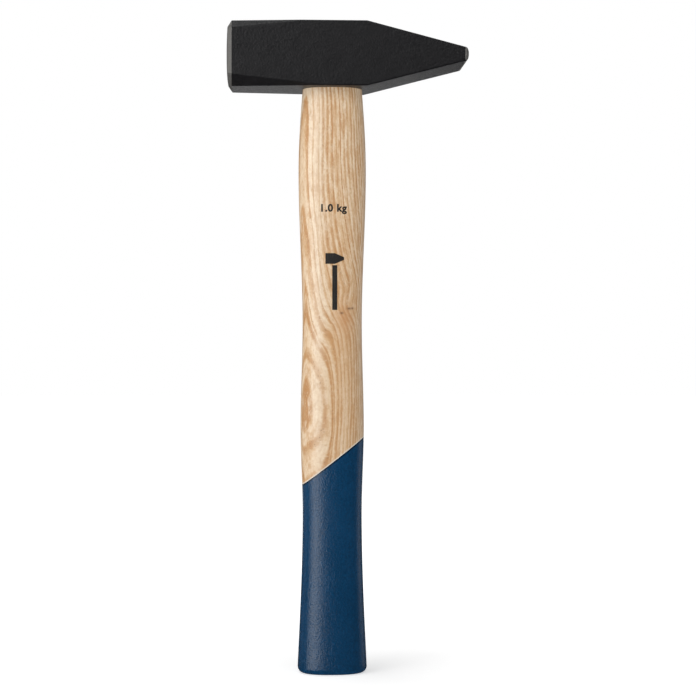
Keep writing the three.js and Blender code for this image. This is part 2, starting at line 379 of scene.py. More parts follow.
def eye_ring(head, height, margin):
    """The eye's oval at a height, less a margin. It flares towards both mouths."""
    away = min(1, abs(height - HEAD_MIDDLE) / (HEAD_HEIGHT / 2))
    growth = 2 * (head.eye_flare * away**2 - margin)
    return (height, head.eye_length + growth, head.eye_width + growth)


def eye_rings(head, bottom, top, margin):
    levels = [HEAD_LOW.z + HEAD_HEIGHT * level / EYE_LEVELS for level in range(EYE_LEVELS + 1)]
    heights = [bottom] + [z for z in levels if bottom + SLIVER < z < top - SLIVER] + [top]
    return [eye_ring(head, z, margin) for z in heights]


def stations(head, handle):
    """The handle's stations from the butt up: height, width, thickness and slope of the width."""
    seat = HEAD_LOW.z
    mouth = 2 * (head.eye_flare + handle.shoulder_ledge)
    return [
        (0, 39.3 * MM, 28 * MM, -0.09),
        (88 * MM, 33.4 * MM, 24.4 * MM, 0),
        (138 * MM, 35.7 * MM, 24.8 * MM, 0),
        (seat - 132.3 * MM, 33.4 * MM, 22.6 * MM, 0),
        (seat - 46.3 * MM, 38 * MM, 23.6 * MM, 0),
        (seat, head.eye_length + mouth, head.eye_width + mouth, -0.16),
    ]


def handle_size(head, handle, height):
    """Width and thickness at a height, on a smooth curve that is level at each inner station."""
    rows = stations(head, handle)
    upper = next(i for i, row in enumerate(rows) if i and row[0] >= height - SLIVER)
    z0, width0, thickness0, slope0 = rows[upper - 1]
    z1, width1, thickness1, slope1 = rows[upper]
    t = (height - z0) / (z1 - z0)
    rise = t * t * (3 - 2 * t)
    bend = (z1 - z0) * (t * (1 - t) ** 2 * slope0 + t * t * (t - 1) * slope1)
    width = width0 + (width1 - width0) * rise + bend
    thickness = thickness0 + (thickness1 - thickness0) * rise + bend
    return width, thickness


def handle_ring(head, handle, height, margin):
    """The handle's oval at a height, less a margin, with the butt's edge rounded."""
    width, thickness = handle_size(head, handle, height)
    radius = handle.butt_rounding - margin
    drop = min(max(handle.butt_rounding - height, 0), radius)
    inset = 2 * (margin + radius - math.sqrt(radius**2 - drop**2))
    return (height, width - inset, thickness - inset)


def handle_rings(head, handle, bottom, top, margin):
    """Rings from the butt up: close together in the rounding, then evenly spaced."""
    rounding = handle.butt_rounding
    turns = [math.pi / 2 * step / ROUNDING_STEPS for step in range(ROUNDING_STEPS)]
    heights = [rounding - (rounding - bottom) * math.cos(turn) for turn in turns]
    count = round((top - rounding) / HANDLE_SPACING)
    heights += [rounding + (top - rounding) * step / count for step in range(count + 1)]
    return [handle_ring(head, handle, z, margin) for z in heights]


# ---- Finishes ----


def toned(shade, factor):
    """A colour made darker or lighter."""
    return tuple(min(1, channel * factor) for channel in shade)


class Look:
    """A material's nodes, with short calls for those that most materials here use."""

    def __init__(self, title, **surface):
        self.material = bpy.data.materials.new(title)
        self.material.use_nodes = True
        self.nodes = self.material.node_tree.nodes
        self.links = self.material.node_tree.links
        self.shader = self.nodes["Principled BSDF"]
        for name, value in surface.items():
            socket = name.replace("_", " ").title().replace("Ior", "IOR")
            self.shader.inputs[socket].default_value = value
        place = self.nodes.new("ShaderNodeTexCoord").outputs["Object"]
        self.place = self.node(
            "VectorMath", [place], "Vector", operation="SCALE", Scale=1 / MM
        )

    def node(self, kind, inputs=(), output=0, **values):
        """Adds a node, feeds its first inputs, and returns one of its outputs."""
        made = self.nodes.new("ShaderNode" + kind)
        for name, value in values.items():
            if hasattr(made, name):
                setattr(made, name, value)
            else:
                made.inputs[name].default_value = value
        for socket, source in zip(made.inputs, inputs):
            self.feed(socket, source)
        return made.outputs[output]

    def feed(self, socket, source):
        """Links a socket to an output, or sets it to a value."""
        if isinstance(source, bpy.types.NodeSocket):
            self.links.new(source, socket)
        elif source is not None:
            socket.default_value = source

    def maths(self, operation, *inputs):
        return self.node("Math", inputs, operation=operation)

    def sum(self, first, second):
        return self.maths("ADD", first, second)

    def times(self, first, second):
        return self.maths("MULTIPLY", first, second)

    def hump(self, across, along):
        """A round bell curve: 1 in the middle, and near 0 beyond a distance of 2."""
        square = self.sum(self.times(across, across), self.times(along, along))
        return self.maths("EXPONENT", self.times(square, -1.0))

    def spot(self, across, along, middle, reach):
        """A hump round a middle, with its own reach each way."""
        first = self.times(self.sum(across, -middle[0]), 1 / reach[0])
        second = self.times(self.sum(along, -middle[1]), 1 / reach[1])
        return self.hump(first, second)

    def joined(self, x, y, z):
        return self.node("CombineXYZ", [x, y, z])

    def length(self, vector):
        return self.node("VectorMath", [vector], "Value", operation="LENGTH")

    def axis(self, index):
        """The place along X, Y or Z in millimetres."""
        return self.node("SeparateXYZ", [self.place], index)

    def scaled(self, *factors):
        """The place in millimetres times a factor for each axis."""
        return self.node("VectorMath", [self.place, factors], operation="MULTIPLY")

    def noise(self, vector, scale=1.0, detail=2.0, roughness=0.5):
        return self.node("TexNoise", [vector, None, scale, detail, roughness])

    def spread(self, value, low, high, new_low=0.0, new_high=1.0, curve="LINEAR"):
        """Maps a value from one range to another, and clamps it."""
        return self.node(
            "MapRange", [value, low, high, new_low, new_high], interpolation_type=curve
        )

    def ramp(self, value, stops):
        """A ramp of greys: stops are pairs of a place and a brightness, both from 0 to 1."""
        made = self.nodes.new("ShaderNodeValToRGB")
        band = made.color_ramp.elements
        while len(band) < len(stops):
            band.new(0.5)
        for element, (place, grey) in zip(band, stops):
            element.position = place
            element.color = (grey, grey, grey, 1)
        self.feed(made.inputs[0], value)
        return made.outputs[0]

    def mix(self, factor, first, second):
        made = self.nodes.new("ShaderNodeMix")
        made.data_type = "RGBA"
        colours = [s for s in made.inputs if s.type == "RGBA"]
        self.feed(made.inputs[0], factor)
        for socket, source in zip(colours, (first, second)):
            if not isinstance(source, bpy.types.NodeSocket):
                source = (*source, 1)
            self.feed(socket, source)
        return next(s for s in made.outputs if s.type == "RGBA")

    def tint(self, shade, value, low, high, amount, other):
        """Mixes another colour in, up to an amount, as a value goes from low to high."""
        return self.mix(self.spread(value, low, high, 0, amount), shade, other)

    def bump(self, height, distance, strength=1.0, below=None):
        """A bump whose full height is a distance in millimetres, over another one."""
        made = self.nodes.new("ShaderNodeBump")
        made.inputs["Strength"].default_value = strength
        made.inputs["Distance"].default_value = distance * MM
        self.feed(made.inputs["Height"], height)
        self.feed(made.inputs["Normal"], below)
        return made.outputs["Normal"]

    def out(self, **sockets):
        """Feeds the shader's own sockets and returns the material."""
        for name, source in sockets.items():
            self.feed(self.shader.inputs[name.replace("_", " ")], source)
        return self.material


def black_lacquer(head):
    """Satin black lacquer with fine orange peel over a forged surface."""
    look = Look("black_lacquer", roughness=0.42, ior=1.45)
    peel = look.noise(look.place, 0.9, 3.0, 0.6)
    forging = look.noise(look.place, 0.12)
    mottle = look.noise(look.place, 0.5, 4.0, 0.65)
    black = tuple(head.lacquer)
    shade = look.tint(black, mottle, 0.4, 0.62, 1.0, toned(black, 1.5))
    rough = look.spread(mottle, 0.3, 0.7, 0.37, 0.46)
    normal = look.bump(peel, 0.45, 0.75, look.bump(forging, 0.7, 0.4))
    return look.out(Base_Color=shade, Roughness=rough, Normal=normal)


def ground_steel(name, steel, along):
    """Bare steel with grinding lines. along holds the factors that stretch the lines."""
    look = Look(name, metallic=1.0)
    lines = look.noise(look.scaled(*along), 1.0, 4.0, 0.65)
    coarse = look.noise(look.scaled(*[factor * 0.35 for factor in along]))
    stain = look.noise(look.place, 0.2, 4.0, 0.6)
    shade = look.tint(toned(steel, 0.72), lines, 0.3, 0.7, 1.0, toned(steel, 1.15))
    shade = look.tint(shade, stain, 0.55, 0.75, 0.35, toned(steel, 0.55))
    rough = look.spread(coarse, 0.3, 0.7, 0.46, 0.58)
    return look.out(Base_Color=shade, Roughness=rough, Normal=look.bump(lines, 0.02, 0.6))


def above_line(look, grip, x, z):
    """How many millimetres a place lies above the slanted paint line."""
    rise = look.times(look.sum(z, -grip.line_height / MM), math.cos(grip.line_tilt))
    return look.sum(rise, look.times(x, -math.sin(grip.line_tilt)))


def sweep(look, height, points):
    """A smooth curve through points, each a height in millimetres and the value there."""
    made = look.nodes.new("ShaderNodeFloatCurve")
    look.feed(made.inputs["Value"], look.times(height, 1 / SWEEP_LENGTH))
    line = made.mapping.curves[0]
    line.points[0].location = (0, points[0][1] / SWEEP_RANGE)
    line.points[1].location = (1, points[-1][1] / SWEEP_RANGE)
    for at, value in points[1:-1]:
        line.points.new(at / SWEEP_LENGTH, value / SWEEP_RANGE)
    made.mapping.update()
    return look.times(made.outputs[0], float(SWEEP_RANGE))


def growth_of(look, x, y, z):
    """How many millimetres a place lies from the handle's inner side, across the growth rings.

    The rings are far from straight: they sweep sideways below the belly and swell round a knot.
    """
    from_pith = look.joined(look.sum(x, -PITH_X), look.sum(y, -PITH_Y), 0.0)
    radius = look.length(from_pith)
    left = sweep(look, z, LEFT_SWEEP)
    middle = sweep(look, look.sum(z, look.times(x, -MIDDLE_LEAN)), MIDDLE_SWEEP)
    share = look.spread(x, -15.0, 3.0, curve="SMOOTHSTEP")
    rings = look.node("Mix", [share, None, left, middle], data_type="FLOAT")
    knot = look.spot(x, z, KNOT_PLACE, KNOT_REACH)
    knot = look.times(knot, look.spread(y, -4.0, 6.0, 1.0, 0.0))
    growth = look.sum(look.sum(radius, -INNER_RADIUS), rings)
    for factors, reach in (((0.08, 0.08, 0.012), 1.0), ((0.3, 0.3, 0.03), 0.3)):
        wander = look.noise(look.scaled(*factors))
        growth = look.sum(growth, look.times(look.sum(wander, -0.5), reach))
    return look.sum(growth, look.times(knot, -KNOT_SWELL))


def ash_wood(handle, grip):
    """Ash under satin clear lacquer, with growth rings, open pores, fibres and a knot."""
    look = Look("ash_wood", roughness=0.5, coat_weight=0.55, coat_roughness=0.3, ior=1.45)
    x, y, z = [look.axis(index) for index in range(3)]
    growth = growth_of(look, x, y, z)
    pale, warm, ring = tuple(handle.pale_wood), tuple(handle.warm_wood), tuple(handle.ring_line)

    # Years of uneven width, each with porous early wood and pale late wood.
    uneven = look.node(
        "TexNoise", [None, look.times(growth, 0.3)], noise_dimensions="1D"
    )
    years = look.sum(look.times(growth, 1 / YEAR_WIDTH), look.times(uneven, 0.8))
    year = look.maths("FLOOR", years)
    luck = look.node("TexWhiteNoise", [None, year], "Value", noise_dimensions="1D")
    in_year = look.maths("FRACT", years)
    early = look.ramp(
        in_year, [(0, 0.1), (0.1, 0.9), (0.2, 1.0), (0.36, 0.5), (0.55, 0.08), (1, 0.0)]
    )
    late = look.ramp(
        in_year, [(0, 0.3), (0.12, 0.0), (0.5, 0.1), (0.72, 1.0), (0.92, 0.9), (1, 0.3)]
    )

    # Streaks, flecks and fibres, bent with the rings.
    across = look.joined(growth, look.times(y, 0.6), look.times(z, 0.12))
    streak = look.noise(across, 0.9, 4.0, 0.62)
    blotch = look.noise(across, 0.3, 3.0, 0.5)
    flecks = look.noise(look.joined(growth, y, look.times(z, 0.35)), 1.7, 3.0, 0.65)
    fibre = look.noise(look.joined(growth, y, look.times(z, 0.02)), 4.0)
    drift = look.noise(look.scaled(0.1, 0.1, 0.013), 1.0, 3.0)

    shade = look.tint(pale, blotch, 0.4, 0.6, 1.0, warm)
    shade = look.tint(shade, drift, 0.42, 0.6, 0.7, look.mix(0.5, pale, warm))
    late_amount = look.times(late, look.spread(luck, 0, 1, 0.8, 0.4))
    shade = look.mix(late_amount, shade, BRIGHT_WOOD)
    early_amount = look.times(early, look.spread(luck, 0, 1, 0.45, 1.0))
    shade = look.mix(early_amount, shade, ring)
    for value, low, high, amount, other in (
        (streak, 0.5, 0.7, 0.7, ring),
        (streak, 0.48, 0.3, 0.7, BRIGHT_WOOD),
        (fibre, 0.4, 0.7, 0.25, ring),
        (flecks, 0.5, 0.75, 0.45, ring),
        (flecks, 0.45, 0.25, 0.5, BRIGHT_WOOD),
    ):
        shade = look.tint(shade, value, low, high, amount, other)
    # Pale streak at one place across the handle: a painted highlight of the lacquer, on partly
    # paler wood. The sapwood mask is this streak.
    sapwood = look.hump(look.times(look.sum(x, -HIGHLIGHT_STREAK_X), 1 / HIGHLIGHT_STREAK_REACH), 0.0)
    shade = look.mix(look.times(sapwood, 0.25), shade, HIGHLIGHT_STREAK)
    heart = look.spot(x, z, HEART_PLACE, HEART_REACH)
    shade = look.mix(look.times(heart, 0.4), shade, HEARTWOOD)

    holes = look.joined(growth, y, look.times(z, 0.22))
    cells = look.node("TexVoronoi", [holes, None, 2.1], "Distance", Randomness=1.0)
    open_share = look.spread(early, 0.1, 0.9, 0.1, 1.0)
    pores = look.times(look.spread(cells, 0.1, 0.3, 1, 0), open_share)
    shade = look.mix(look.times(pores, 0.55), shade, PORE)

    in_face = look.spread(y, -7.0, -2.0, 1.0, 0.0)
    halo = look.spot(x, z, HALO_PLACE, HALO_REACH)
    shade = look.mix(look.times(look.times(halo, in_face), 0.6), shade, HALO)
    for place, width in PINS:
        pin = look.times(look.spot(x, z, place, (width, PIN_HEIGHT)), in_face)
        shade = look.mix(look.times(pin, 0.85), shade, PIN)

    rim = look.spread(above_line(look, grip, x, z), 0.2, 0.75, 0.75, 0)
    shade = look.mix(rim, shade, PALE_RIM)
    normal = look.bump(pores, -0.06, 0.7, look.bump(flecks, 0.12, 0.6))
    rough = look.spread(flecks, 0.3, 0.7, 0.42, 0.56)
    return look.out(Base_Color=shade, Roughness=rough, Normal=normal, Coat_Normal=normal)


def wedge_wood():
    """Plain hardwood, cut across its grain at the top and rough where it was hammered."""
    look = Look("wedge_wood", roughness=0.6)
    fibre = look.noise(look.scaled(3.0, 3.0, 0.15), 1.0, 4.0, 0.6)
    speckle = look.noise(look.place, 6.0)
    shade = look.tint((0.42, 0.25, 0.12), fibre, 0.3, 0.7, 1.0, (0.6, 0.4, 0.22))
    shade = look.tint(shade, speckle, 0.5, 0.8, 0.6, (0.2, 0.1, 0.04))
    return look.out(Base_Color=shade, Normal=look.bump(speckle, 0.06, 0.5))


def blue_paint(grip):
    """Satin dipped paint with orange peel, darker in a thin band just under its line."""
    look = Look("blue_paint", ior=1.54)
    peel = look.noise(look.scaled(1.0, 1.0, 0.8), 1.15, 3.0, 0.6)
    grain = look.noise(look.scaled(1.2, 1.2, 0.05), 1.0, 3.0)
    cloud = look.noise(look.scaled(0.08, 0.08, 0.04), 1.0, 3.0)
    above = above_line(look, grip, look.axis(0), look.axis(2))
    shade = blue = tuple(grip.paint)
    for value, low, high, amount, tone in (
        (cloud, 0.35, 0.65, 1.0, 1.18),
        (grain, 0.45, 0.7, 0.25, 0.75),
        (peel, 0.52, 0.7, 0.6, 1.6),
        (peel, 0.48, 0.3, 0.6, 0.6),
        (above, -1.3, -0.4, 0.85, 0.2),
    ):
        shade = look.tint(shade, value, low, high, amount, toned(blue, tone))
    rough = look.spread(cloud, 0.3, 0.7, 0.1, 0.16)
    normal = look.bump(peel, 0.4, 0.7, look.bump(grain, 0.1, 0.4))
    return look.out(Base_Color=shade, Roughness=rough, Normal=normal)


def print_ink():
    """Matt black ink, thin enough for the grain to break it up a little."""
    look = Look("print_ink", roughness=0.6)
    grain = look.noise(look.scaled(2.4, 2.4, 0.5), 1.0, 3.0, 0.6)
    shade = look.tint((0.011, 0.009, 0.008), grain, 0.5, 0.75, 0.5, (0.06, 0.045, 0.03))
    return look.out(Base_Color=shade)


# ---- Pieces ----


class HAMMER_OT_head(bpy.types.Operator):
    """Models the forged head with its ground face and nose"""

    bl_idname = "hammer.head"
    bl_label = "Head"

    def execute(self, context):
        head = context.scene.hammer_head
        piece = self.bar(head)
        self.grow_chamfers(piece, head)
        self.grind_face(piece, head)
        self.draw_peen(piece, head)
        self.round_nose(piece, head)
        face_outwards(piece)
        eye = oval_column("eye", eye_rings(head, HEAD_LOW.z - MM, HEAD_HIGH.z + MM, 0))
        cut(piece, eye)
        round_edges(piece, head.edge_radius, 3, 24)
        bpy.ops.object.shade_smooth_by_angle(angle=math.radians(40))
        finish_with(piece, "WEIGHTED_NORMAL", keep_sharp=True)
        self.lay_finishes(piece, head)
        keep(piece, "head")
        return {"FINISHED"}

    def face_edge(self, head):
        return HEAD_LOW.x + head.face_crown + head.face_bevel_depth

    def bar(self, head):
        """The square bar between the face and the taper, with its long edges broken."""
        left, right = self.face_edge(head), head.taper_start
        start_clean()
        bpy.ops.mesh.primitive_cube_add(
            size=1,
            location=((left + right) / 2, 0, HEAD_MIDDLE),
            scale=(right - left, HEAD_WIDTH, HEAD_HEIGHT),
        )
        piece = name_new("hammer_head")
        pick(piece, "EDGE", lambda a, b: abs(a.x - b.x) > HEAD_WIDTH)
        bpy.ops.mesh.bevel(offset=head.edge_break, segments=1, affect="EDGES")
        for run in (head.top_run, head.bottom_run):
            bisect((left + run, 0, 0), (1, 0, 0))
        return piece

    def grow_chamfers(self, piece, head):
        """Widens the broken edges towards the face into the long corner chamfers."""
        left = self.face_edge(head)
        half_width, half_height = HEAD_WIDTH / 2, HEAD_HEIGHT / 2
        chamfers = (
            (1, head.top_chamfer, head.top_run),
            (-1, head.bottom_chamfer, head.bottom_run),
        )
        for side, leg, run in chamfers:
            for station in (left, left + head.top_run, left + head.bottom_run):
                growth = (leg - head.edge_break) * (1 - (station - left) / run)
                if growth < SLIVER:
                    continue

                def rise(place):
                    """Height over the head's middle on this side, or 0 off the station."""
                    at_station = abs(place.x - station) < SLIVER
                    return side * (place.z - HEAD_MIDDLE) if at_station else 0

                def at_cheek(place):
                    return rise(place) > 0 and abs(abs(place.y) - half_width) < SLIVER

                pick(piece, "VERT", at_cheek)
                slide((0, 0, -side * growth))
                pick(piece, "VERT", lambda place: rise(place) > half_height - SLIVER)
                narrower = 1 - growth / (half_width - head.edge_break)
                resize((1, narrower, 1), (station, 0, HEAD_MIDDLE))

    def grind_face(self, piece, head):
        """The bevel round the face, then the crown in rings that shrink towards its middle."""
        left = self.face_edge(head)
        pick(piece, "FACE", lambda centre, normal: abs(centre.x - left) < SLIVER)
        bpy.ops.mesh.inset(thickness=head.face_bevel_inset, depth=0)
        slide((-head.face_bevel_depth, 0, 0))
        for step in range(1, CROWN_STEPS):
            before, after = 1 - (step - 1) / CROWN_STEPS, 1 - step / CROWN_STEPS
            extrude((-head.face_crown * (before**2 - after**2), 0, 0))
            resize((1, after / before, after / before), (left, 0, HEAD_MIDDLE))

    def draw_peen(self, piece, head):
        """The taper to the nose, with its broken edges kept at their size."""
        right = HEAD_HIGH.x - head.nose_depth
        pick(piece, "FACE", lambda centre, normal: abs(centre.x - head.taper_start) < SLIVER)
        extrude((right - head.taper_start, 0, 0))
        shrink = head.nose_height / HEAD_HEIGHT
        resize((1, 1, shrink), (right, 0, HEAD_MIDDLE))
        wide = HEAD_WIDTH / 2 - SLIVER
        pick(piece, "VERT", lambda p: abs(p.x - right) < SLIVER and abs(p.y) > wide)
        corner = head.nose_height / 2 - head.edge_break
        taller = corner / ((HEAD_HEIGHT / 2 - head.edge_break) * shrink)
        resize((1, 1, taller), (right, 0, HEAD_MIDDLE))

    def round_nose(self, piece, head):
        """The nose, rounded over in small steps."""
        right = HEAD_HIGH.x - head.nose_depth
        pick(piece, "FACE", lambda centre, normal: abs(centre.x - right) < SLIVER)
        last_height, last_width, last_x = 1, 1, 0
        for step in range(1, NOSE_STEPS + 1):
            turn = math.pi / 2 * step / NOSE_STEPS
            height = NOSE_TIP_SHARE + (1 - NOSE_TIP_SHARE) * math.cos(turn)
            width = 1 - NOSE_NARROWING * (1 - math.cos(turn))
            reach = head.nose_depth * math.sin(turn)
            extrude((reach - last_x, 0, 0))
            resize((1, width / last_width, height / last_height), (right, 0, HEAD_MIDDLE))
            last_height, last_width, last_x = height, width, reach
        leave_edit()

    def lay_finishes(self, piece, head):
        """Black lacquer all over, and bare steel on the ground face and nose."""
        steel = ground_steel("ground_steel", tuple(head.steel), (2.0, 0.25, 6.0))
        materials = piece.data.materials
        materials.clear()
        materials.append(black_lacquer(head))
        materials.append(steel)
        left = self.face_edge(head) - SLIVER
        right = HEAD_HIGH.x - head.nose_depth + SLIVER
        pick(piece, "FACE", lambda centre, normal: not left <= centre.x <= right)
        piece.active_material_index = 1
        bpy.ops.object.material_slot_assign()
        leave_edit()


class HAMMER_OT_handle(bpy.types.Operator):
    """Models the ash handle with its tenon"""

    bl_idname = "hammer.handle"
    bl_label = "Handle"

    def execute(self, context):
        scene = context.scene
        head, handle = scene.hammer_head, scene.hammer_handle
        grip, wedge = scene.hammer_grip, scene.hammer_wedges
        rings = handle_rings(head, handle, 0, HEAD_LOW.z - SLIVER, 0)
        tenon = eye_rings(head, HEAD_LOW.z, TENON_TOP, handle.tenon_gap)
        piece = oval_column("ash_handle", rings + tenon)
        cut(piece, self.rebate(head, handle, grip))
        cut(piece, wedge_blank(head, wedge, "kerf", handle.kerf_gap, 2 * MM))
        cut(piece, ring_groove(wedge, handle.kerf_gap))
        face_outwards(piece, smooth=35)
        keep(piece, "handle", ash_wood(handle, grip))
        return {"FINISHED"}

    def rebate(self, head, handle, grip):
        """A block under the paint line, less the wood that stays inside the coat."""
        side = 300 * MM
        below = Matrix.Rotation(-grip.line_tilt, 3, "Y") @ Vector((0, 0, -side / 2))
        middle = below + Vector((0, 0, grip.line_height + SLIVER))
        start_clean()
        turn = (0, -grip.line_tilt, 0)
        bpy.ops.mesh.primitive_cube_add(size=side, location=middle, rotation=turn)
        block = name_new("rebate")
        edit_all()
        bpy.ops.mesh.subdivide(number_cuts=1)
        leave_edit()
        margin = grip.coat_thickness
        core = oval_column("core", handle_rings(head, handle, margin, CORE_BLANK_TOP, margin))
        cut(block, core)
        return block


def wedge_blank(head, wedge, name, margin, deeper, higher=MM):
    """A bar along X, longer than the eye, that narrows downwards as the wooden wedge does."""
    top, tip = WEDGE_HIGH.z + higher, WEDGE_LOW.z - deeper
    thick = WEDGE_HIGH.y - WEDGE_LOW.y
    slope = (thick - wedge.wedge_tip) / (WEDGE_HIGH.z - WEDGE_LOW.z)
    top_thickness = thick + slope * higher + 2 * margin
    tip_thickness = wedge.wedge_tip - slope * deeper + 2 * margin
    start_clean()
    bpy.ops.mesh.primitive_cube_add(
        size=1,
        location=(0, 0, (top + tip) / 2),
        scale=(1.5 * head.eye_length, top_thickness, top - tip),
    )
    blank = name_new(name)
    pick(blank, "FACE", lambda centre, normal: normal.z < -0.5)
    resize((1, tip_thickness / top_thickness, 1), (0, 0, tip))
    leave_edit()
    return blank


def round_bar(name, radius, depth, middle):
    start_clean()
    bpy.ops.mesh.primitive_cylinder_add(
        vertices=RING_SIDES, radius=radius, depth=depth, location=(0, 0, middle)
    )
    return name_new(name)


def ring_blank(wedge, name, margin, higher):
    """A ring whose wall narrows downwards: a round bar with a tapered bore."""
    top, tip = RING_HIGH.z + higher, RING_LOW.z - margin
    bore_top = RING_HIGH.x - wedge.ring_wall - margin
    bore_tip = RING_HIGH.x - wedge.ring_tip_wall - margin
    ring = round_bar(name, RING_HIGH.x + margin, top - tip, (top + tip) / 2)
    bore = round_bar(name + "_bore", bore_top, top - tip + 2 * MM, (top + tip) / 2)
    pick(bore, "FACE", lambda centre, normal: normal.z < -0.5)
    resize((bore_tip / bore_top, bore_tip / bore_top, 1), (0, 0, tip))
    leave_edit()
    cut(ring, bore)
    return ring


def ring_groove(wedge, gap):
    """The cutter for the groove that the ring wedge makes."""
    return ring_blank(wedge, "ring_groove", gap, MM)


class HAMMER_OT_grip(bpy.types.Operator):
    """Models the dipped paint coat on the grip"""

    bl_idname = "hammer.grip"
    bl_label = "Grip coat"

    def execute(self, context):
        scene = context.scene
        head, handle, grip = scene.hammer_head, scene.hammer_handle, scene.hammer_grip
        piece = oval_column("blue_grip", handle_rings(head, handle, 0, COAT_BLANK_TOP, 0))
        edit_all()
        normal = (-math.sin(grip.line_tilt), 0, math.cos(grip.line_tilt))
        bisect((0, 0, grip.line_height), normal, clear_outer=True)
        leave_edit()
        thickness = grip.coat_thickness - SLIVER
        finish_with(piece, "SOLIDIFY", thickness=thickness, offset=-1, use_even_offset=True)
        face_outwards(piece, smooth=35)
        keep(piece, "grip_coat", blue_paint(grip))
        return {"FINISHED"}


class HAMMER_OT_wedges(bpy.types.Operator):
    """Models the wooden wedge and the ring wedge in the head's top"""

    bl_idname = "hammer.wedges"
    bl_label = "Wedges"

    def execute(self, context):
        scene = context.scene
        self.wooden_wedge(scene.hammer_head, scene.hammer_handle, scene.hammer_wedges)
        self.ring_wedge(scene.hammer_wedges)
        return {"FINISHED"}

    def wooden_wedge(self, head, handle, wedge):
        """A bar that fills the kerf, trimmed to the tenon's outline and cut by the ring."""
        bottom = WEDGE_LOW.z - MM
        rings = eye_rings(head, bottom, TENON_TOP, handle.tenon_gap)
        piece = oval_column("beech_wedge", rings)
        blank = wedge_blank(head, wedge, "blank", 0, 0)
        cut(piece, blank, "INTERSECT")
        cut(piece, ring_groove(wedge, handle.kerf_gap))
        face_outwards(piece)
        keep(piece, "wooden_wedge", wedge_wood())

    def ring_wedge(self, wedge):
        """A tapered steel ring with rounded edges, a little under the tenon's top."""
        piece = ring_blank(wedge, "steel_ring_wedge", 0, -wedge.ring_sink)
        round_edges(piece, 0.15 * MM, 2, 40)
        face_outwards(piece, smooth=40)
        steel = ground_steel("wedge_steel", (0.36, 0.35, 0.34), (2.5, 2.5, 2.5))
        keep(piece, "ring_wedge", steel)


class HAMMER_OT_prints(bpy.types.Operator):
    """Prints the weight and a plain hammer sign on the handle's side"""

    bl_idname = "hammer.prints"
    bl_label = "Prints"

    def execute(self, context):
        prints = context.scene.hammer_prints
        ink = print_ink()
        self.press(self.digits(prints), prints, ink)
        self.press(self.hammer_sign(prints), prints, ink)
        return {"FINISHED"}

    def digits(self, prints):
        """The weight in plain digits, standing in front of the handle."""
        place = (0, -PRINT_STAND, prints.weight_height - prints.digit_height / 2)
        start_clean()
        bpy.ops.object.text_add(location=place, rotation=(math.pi / 2, 0, 0))
        text = bpy.context.object
        text.data.body = prints.weight
        text.data.size = prints.digit_height * 1.36  # the font is larger than its digits
        text.data.offset = 0.2 * MM
        text.data.align_x = "CENTER"
        text.data.space_character = 1.1
        bpy.ops.object.convert(target="MESH")
        piece = bpy.context.object
        piece.name = "weight_print"
        bpy.ops.object.transform_apply(location=True, rotation=True, scale=False)
        return piece

    def hammer_sign(self, prints):
        """A plain hammer sign: a straight shaft under a head that tapers to one side."""
        block_width, block_height = SIGN_BLOCK
        start_clean()
        bpy.ops.mesh.primitive_plane_add(size=MM, rotation=(math.pi / 2, 0, 0))
        piece = name_new("hammer_sign")
        edit_all()
        resize((SIGN_SHAFT[0], 1, SIGN_SHAFT[1]), (0, 0, 0))
        slide((0, 0, -SIGN_SHAFT_DROP))
        bpy.ops.mesh.select_all(action="DESELECT")
        bpy.ops.mesh.primitive_plane_add(size=MM, rotation=(math.pi / 2, 0, 0))
        resize((block_width, 1, block_height), (0, 0, 0))
        slide((-block_width / 2 * MM, 0, SIGN_HEAD_RISE))
        bpy.ops.mesh.duplicate()
        slide((block_width * MM, 0, 0))
        leave_edit()
        tip = max(vertex.co.x for vertex in piece.data.vertices) - SLIVER
        pick(piece, "VERT", lambda place: place.x > tip)
        resize((1, 1, SIGN_PEEN_SHARE), (0, 0, SIGN_HEAD_RISE))
        bpy.ops.mesh.select_all(action="SELECT")
        slide((MM, -PRINT_STAND, prints.mark_height))
        leave_edit()
        return piece

    def slice_up(self, piece):
        """Cuts a flat print into small faces, so that it can follow the handle."""
        places = [vertex.co for vertex in piece.data.vertices]
        low, high = [[end(place[i] for place in places) for i in range(3)] for end in (min, max)]
        make_active(piece)
        edit_all()
        for axis, spacing in ((0, 0.5 * MM), (2, 2 * MM)):
            normal = [float(axis == i) for i in range(3)]
            for step in range(1, int((high[axis] - low[axis]) / spacing) + 1):
                bisect([low[axis] + step * spacing * n for n in normal], normal)
        leave_edit()

    def press(self, piece, prints, ink):
        """Presses a flat print onto the handle, at the ink's thickness."""
        self.slice_up(piece)
        finish_with(
            piece,
            "SHRINKWRAP",
            target=bpy.data.objects["ash_handle"],
            wrap_method="PROJECT",
            use_project_y=True,
            offset=prints.ink_depth,
            wrap_mode="ABOVE_SURFACE",
        )
        finish_with(piece, "SOLIDIFY", thickness=prints.ink_depth, offset=0)
        keep(piece, None, ink)


# ---- Stage ----


def glow(name, shade, strength):
    """A material that only gives light."""
    material = bpy.data.materials.new(name)
    material.use_nodes = True
    nodes = material.node_tree.nodes
    nodes.remove(nodes["Principled BSDF"])
    emission = nodes.new("ShaderNodeEmission")
    emission.inputs["Color"].default_value = (*shade, 1)
    emission.inputs["Strength"].default_value = strength
    material.node_tree.links.new(emission.outputs[0], nodes["Material Output"].inputs["Surface"])
    return material


